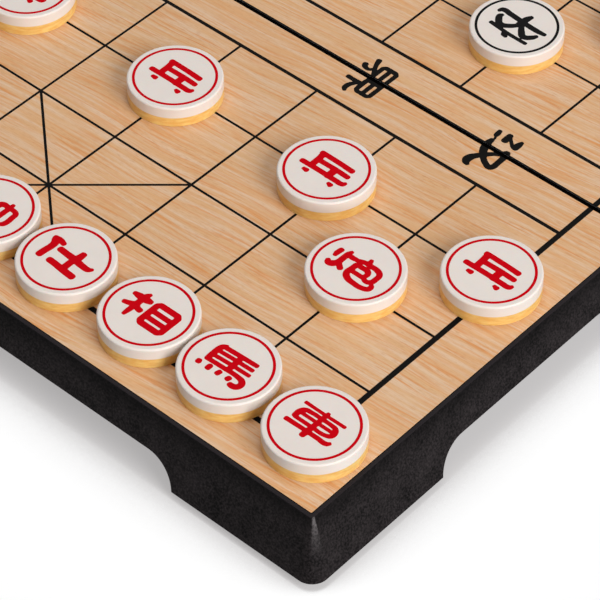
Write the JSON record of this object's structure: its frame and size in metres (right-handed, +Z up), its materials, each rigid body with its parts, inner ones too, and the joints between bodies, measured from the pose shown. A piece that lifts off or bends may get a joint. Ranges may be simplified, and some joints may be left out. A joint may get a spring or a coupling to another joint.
{
  "type": "folding magnetic xiangqi set",
  "caption": "Folding xiangqi board whose two hinged black half shells carry a wood-look playing face, hold storage trays underneath, and stand set up with magnetic men.",
  "frame": {"origin": "on the table under the middle of the river seam, at the undersides of the rubber feet", "axes": "+X along the river seam and the hinge, to the right of the red player, +Y from the red side across the seam to the black side, +Z up"},
  "size_m": [0.3044, 0.3044, 0.0305],
  "materials": {
    "shell": "fine matte grain, black",
    "tray": "fine matte, black",
    "film": "satin printed wood grain with black lines",
    "steel": "plain rolled",
    "magnet": "bright nickel plate",
    "rubber": "matte",
    "man": "polished, white cap over an amber base"
  },
  "bodies": {
    "red_half": {"red_side_shell": "shell", "red_side_steel_plate": "steel", "red_side_playing_film": "film", "red_side_storage_tray": "tray", "red_side_feet": "rubber", "red_side_magnets": "magnet", "red_side_tray_screws": "steel", "left_hinge_pin": "steel", "right_hinge_pin": "steel"},
    "black_half": {"black_side_shell": "shell", "black_side_steel_plate": "steel", "black_side_playing_film": "film", "black_side_storage_tray": "tray", "black_side_feet": "rubber", "black_side_magnets": "magnet", "black_side_tray_screws": "steel"},
    "red_chariot_1": {"red_chariot_1": "man"},
    "red_chariot_2": {"red_chariot_2": "man"},
    "red_horse_1": {"red_horse_1": "man"},
    "red_horse_2": {"red_horse_2": "man"},
    "red_elephant_1": {"red_elephant_1": "man"},
    "red_elephant_2": {"red_elephant_2": "man"},
    "red_advisor_1": {"red_advisor_1": "man"},
    "red_advisor_2": {"red_advisor_2": "man"},
    "red_cannon_1": {"red_cannon_1": "man"},
    "red_cannon_2": {"red_cannon_2": "man"},
    "red_general": {"red_general": "man"},
    "red_soldier_1": {"red_soldier_1": "man"},
    "red_soldier_2": {"red_soldier_2": "man"},
    "red_soldier_3": {"red_soldier_3": "man"},
    "red_soldier_4": {"red_soldier_4": "man"},
    "red_soldier_5": {"red_soldier_5": "man"},
    "black_chariot_1": {"black_chariot_1": "man"},
    "black_chariot_2": {"black_chariot_2": "man"},
    "black_horse_1": {"black_horse_1": "man"},
    "black_horse_2": {"black_horse_2": "man"},
    "black_elephant_1": {"black_elephant_1": "man"},
    "black_elephant_2": {"black_elephant_2": "man"},
    "black_advisor_1": {"black_advisor_1": "man"},
    "black_advisor_2": {"black_advisor_2": "man"},
    "black_cannon_1": {"black_cannon_1": "man"},
    "black_cannon_2": {"black_cannon_2": "man"},
    "black_general": {"black_general": "man"},
    "black_soldier_1": {"black_soldier_1": "man"},
    "black_soldier_2": {"black_soldier_2": "man"},
    "black_soldier_3": {"black_soldier_3": "man"},
    "black_soldier_4": {"black_soldier_4": "man"},
    "black_soldier_5": {"black_soldier_5": "man"}
  },
  "joints": [
    {"name": "fold_hinge", "type": "hinge", "parent": "red_half", "child": "black_half", "pos_m": [0, 0, 0.0023], "axis": [-1, 0, 0], "range_deg": [0, 180]},
    {"name": "lift_red_chariot_1", "type": "slide", "parent": "red_half", "child": "red_chariot_1", "axis": [0, 0, 1], "range_m": [0, 0.03]},
    {"name": "lift_red_chariot_2", "type": "slide", "parent": "red_half", "child": "red_chariot_2", "axis": [0, 0, 1], "range_m": [0, 0.03]},
    {"name": "lift_red_horse_1", "type": "slide", "parent": "red_half", "child": "red_horse_1", "axis": [0, 0, 1], "range_m": [0, 0.03]},
    {"name": "lift_red_horse_2", "type": "slide", "parent": "red_half", "child": "red_horse_2", "axis": [0, 0, 1], "range_m": [0, 0.03]},
    {"name": "lift_red_elephant_1", "type": "slide", "parent": "red_half", "child": "red_elephant_1", "axis": [0, 0, 1], "range_m": [0, 0.03]},
    {"name": "lift_red_elephant_2", "type": "slide", "parent": "red_half", "child": "red_elephant_2", "axis": [0, 0, 1], "range_m": [0, 0.03]},
    {"name": "lift_red_advisor_1", "type": "slide", "parent": "red_half", "child": "red_advisor_1", "axis": [0, 0, 1], "range_m": [0, 0.03]},
    {"name": "lift_red_advisor_2", "type": "slide", "parent": "red_half", "child": "red_advisor_2", "axis": [0, 0, 1], "range_m": [0, 0.03]},
    {"name": "lift_red_cannon_1", "type": "slide", "parent": "red_half", "child": "red_cannon_1", "axis": [0, 0, 1], "range_m": [0, 0.03]},
    {"name": "lift_red_cannon_2", "type": "slide", "parent": "red_half", "child": "red_cannon_2", "axis": [0, 0, 1], "range_m": [0, 0.03]},
    {"name": "lift_red_general", "type": "slide", "parent": "red_half", "child": "red_general", "axis": [0, 0, 1], "range_m": [0, 0.03]},
    {"name": "lift_red_soldier_1", "type": "slide", "parent": "red_half", "child": "red_soldier_1", "axis": [0, 0, 1], "range_m": [0, 0.03]},
    {"name": "lift_red_soldier_2", "type": "slide", "parent": "red_half", "child": "red_soldier_2", "axis": [0, 0, 1], "range_m": [0, 0.03]},
    {"name": "lift_red_soldier_3", "type": "slide", "parent": "red_half", "child": "red_soldier_3", "axis": [0, 0, 1], "range_m": [0, 0.03]},
    {"name": "lift_red_soldier_4", "type": "slide", "parent": "red_half", "child": "red_soldier_4", "axis": [0, 0, 1], "range_m": [0, 0.03]},
    {"name": "lift_red_soldier_5", "type": "slide", "parent": "red_half", "child": "red_soldier_5", "axis": [0, 0, 1], "range_m": [0, 0.03]},
    {"name": "lift_black_chariot_1", "type": "slide", "parent": "black_half", "child": "black_chariot_1", "axis": [0, 0, 1], "range_m": [0, 0.03]},
    {"name": "lift_black_chariot_2", "type": "slide", "parent": "black_half", "child": "black_chariot_2", "axis": [0, 0, 1], "range_m": [0, 0.03]},
    {"name": "lift_black_horse_1", "type": "slide", "parent": "black_half", "child": "black_horse_1", "axis": [0, 0, 1], "range_m": [0, 0.03]},
    {"name": "lift_black_horse_2", "type": "slide", "parent": "black_half", "child": "black_horse_2", "axis": [0, 0, 1], "range_m": [0, 0.03]},
    {"name": "lift_black_elephant_1", "type": "slide", "parent": "black_half", "child": "black_elephant_1", "axis": [0, 0, 1], "range_m": [0, 0.03]},
    {"name": "lift_black_elephant_2", "type": "slide", "parent": "black_half", "child": "black_elephant_2", "axis": [0, 0, 1], "range_m": [0, 0.03]},
    {"name": "lift_black_advisor_1", "type": "slide", "parent": "black_half", "child": "black_advisor_1", "axis": [0, 0, 1], "range_m": [0, 0.03]},
    {"name": "lift_black_advisor_2", "type": "slide", "parent": "black_half", "child": "black_advisor_2", "axis": [0, 0, 1], "range_m": [0, 0.03]},
    {"name": "lift_black_cannon_1", "type": "slide", "parent": "black_half", "child": "black_cannon_1", "axis": [0, 0, 1], "range_m": [0, 0.03]},
    {"name": "lift_black_cannon_2", "type": "slide", "parent": "black_half", "child": "black_cannon_2", "axis": [0, 0, 1], "range_m": [0, 0.03]},
    {"name": "lift_black_general", "type": "slide", "parent": "black_half", "child": "black_general", "axis": [0, 0, 1], "range_m": [0, 0.03]},
    {"name": "lift_black_soldier_1", "type": "slide", "parent": "black_half", "child": "black_soldier_1", "axis": [0, 0, 1], "range_m": [0, 0.03]},
    {"name": "lift_black_soldier_2", "type": "slide", "parent": "black_half", "child": "black_soldier_2", "axis": [0, 0, 1], "range_m": [0, 0.03]},
    {"name": "lift_black_soldier_3", "type": "slide", "parent": "black_half", "child": "black_soldier_3", "axis": [0, 0, 1], "range_m": [0, 0.03]},
    {"name": "lift_black_soldier_4", "type": "slide", "parent": "black_half", "child": "black_soldier_4", "axis": [0, 0, 1], "range_m": [0, 0.03]},
    {"name": "lift_black_soldier_5", "type": "slide", "parent": "black_half", "child": "black_soldier_5", "axis": [0, 0, 1], "range_m": [0, 0.03]}
  ]
}
